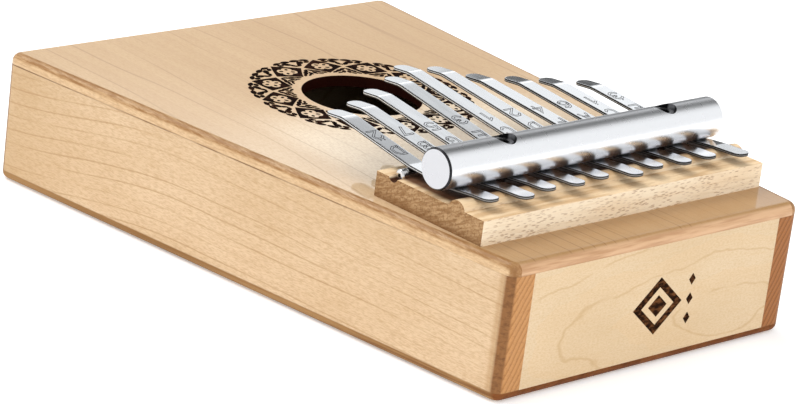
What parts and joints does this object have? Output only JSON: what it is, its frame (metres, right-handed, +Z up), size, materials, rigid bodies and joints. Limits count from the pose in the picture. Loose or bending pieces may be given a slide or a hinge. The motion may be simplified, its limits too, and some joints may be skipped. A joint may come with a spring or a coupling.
{
  "type": "mbira",
  "caption": "Tapered wooden box mbira: spring-steel tongues clamped by a round metal bar on a bridge block, beside a round sound hole.",
  "frame": {"origin": "middle of the flat underside of the sound box", "axes": "+Y from the near end, with the bridge block, to the far end with the sound hole; +X to the right as seen from the near end; +Z up"},
  "size_m": [0.1448, 0.19, 0.0586],
  "materials": {
    "maple_top": "gloss lacquer",
    "maple_side": "satin lacquer",
    "maple_panel": "satin lacquer",
    "bottom_wood": "satin lacquer",
    "block_wood": "raw, sanded",
    "rod_steel": "bright drawn",
    "bar_aluminium": "satin",
    "screw_steel": "dark plated",
    "tongue_steel": "polished"
  },
  "bodies": {
    "sound_box": {"top_board": "maple_top", "bottom_board": "bottom_wood", "left_side_board": "maple_side", "right_side_board": "maple_side", "near_end_panel": "maple_panel", "far_end_panel": "maple_panel", "bridge_block": "block_wood", "bridge_rod": "rod_steel", "pressure_bar": "bar_aluminium", "bar_screws": "screw_steel", "tongue_1_root": "tongue_steel", "tongue_2_root": "tongue_steel", "tongue_3_root": "tongue_steel", "tongue_4_root": "tongue_steel", "tongue_5_root": "tongue_steel", "tongue_6_root": "tongue_steel", "tongue_7_root": "tongue_steel", "tongue_8_root": "tongue_steel", "tongue_9_root": "tongue_steel", "tongue_10_root": "tongue_steel"},
    "tongue_1": {"tongue_1": "tongue_steel"},
    "tongue_2": {"tongue_2": "tongue_steel"},
    "tongue_3": {"tongue_3": "tongue_steel"},
    "tongue_4": {"tongue_4": "tongue_steel"},
    "tongue_5": {"tongue_5": "tongue_steel"},
    "tongue_6": {"tongue_6": "tongue_steel"},
    "tongue_7": {"tongue_7": "tongue_steel"},
    "tongue_8": {"tongue_8": "tongue_steel"},
    "tongue_9": {"tongue_9": "tongue_steel"},
    "tongue_10": {"tongue_10": "tongue_steel"}
  },
  "joints": [
    {"name": "tongue_1_flex", "type": "hinge", "parent": "sound_box", "child": "tongue_1", "pos_m": [-0.04635, -0.0457, 0.04771], "axis": [1, 0, 0], "range_deg": [-4, 3], "stiffness_Nm_per_rad": 5.56},
    {"name": "tongue_2_flex", "type": "hinge", "parent": "sound_box", "child": "tongue_2", "pos_m": [-0.03605, -0.0457, 0.04769], "axis": [1, 0, 0], "range_deg": [-4, 3], "stiffness_Nm_per_rad": 5.03},
    {"name": "tongue_3_flex", "type": "hinge", "parent": "sound_box", "child": "tongue_3", "pos_m": [-0.02575, -0.0457, 0.04768], "axis": [1, 0, 0], "range_deg": [-4, 3], "stiffness_Nm_per_rad": 4.46},
    {"name": "tongue_4_flex", "type": "hinge", "parent": "sound_box", "child": "tongue_4", "pos_m": [-0.01545, -0.0457, 0.04771], "axis": [1, 0, 0], "range_deg": [-4, 3], "stiffness_Nm_per_rad": 4.17},
    {"name": "tongue_5_flex", "type": "hinge", "parent": "sound_box", "child": "tongue_5", "pos_m": [-0.00515, -0.0457, 0.04768], "axis": [1, 0, 0], "range_deg": [-4, 3], "stiffness_Nm_per_rad": 3.6},
    {"name": "tongue_6_flex", "type": "hinge", "parent": "sound_box", "child": "tongue_6", "pos_m": [0.00515, -0.0457, 0.04767], "axis": [1, 0, 0], "range_deg": [-4, 3], "stiffness_Nm_per_rad": 3.81},
    {"name": "tongue_7_flex", "type": "hinge", "parent": "sound_box", "child": "tongue_7", "pos_m": [0.01545, -0.0457, 0.04764], "axis": [1, 0, 0], "range_deg": [-4, 3], "stiffness_Nm_per_rad": 4.26},
    {"name": "tongue_8_flex", "type": "hinge", "parent": "sound_box", "child": "tongue_8", "pos_m": [0.02575, -0.0457, 0.04764], "axis": [1, 0, 0], "range_deg": [-4, 3], "stiffness_Nm_per_rad": 4.85},
    {"name": "tongue_9_flex", "type": "hinge", "parent": "sound_box", "child": "tongue_9", "pos_m": [0.03605, -0.0457, 0.04763], "axis": [1, 0, 0], "range_deg": [-4, 3], "stiffness_Nm_per_rad": 5.34},
    {"name": "tongue_10_flex", "type": "hinge", "parent": "sound_box", "child": "tongue_10", "pos_m": [0.04635, -0.0457, 0.04763], "axis": [1, 0, 0], "range_deg": [-4, 3], "stiffness_Nm_per_rad": 6.21}
  ]
}
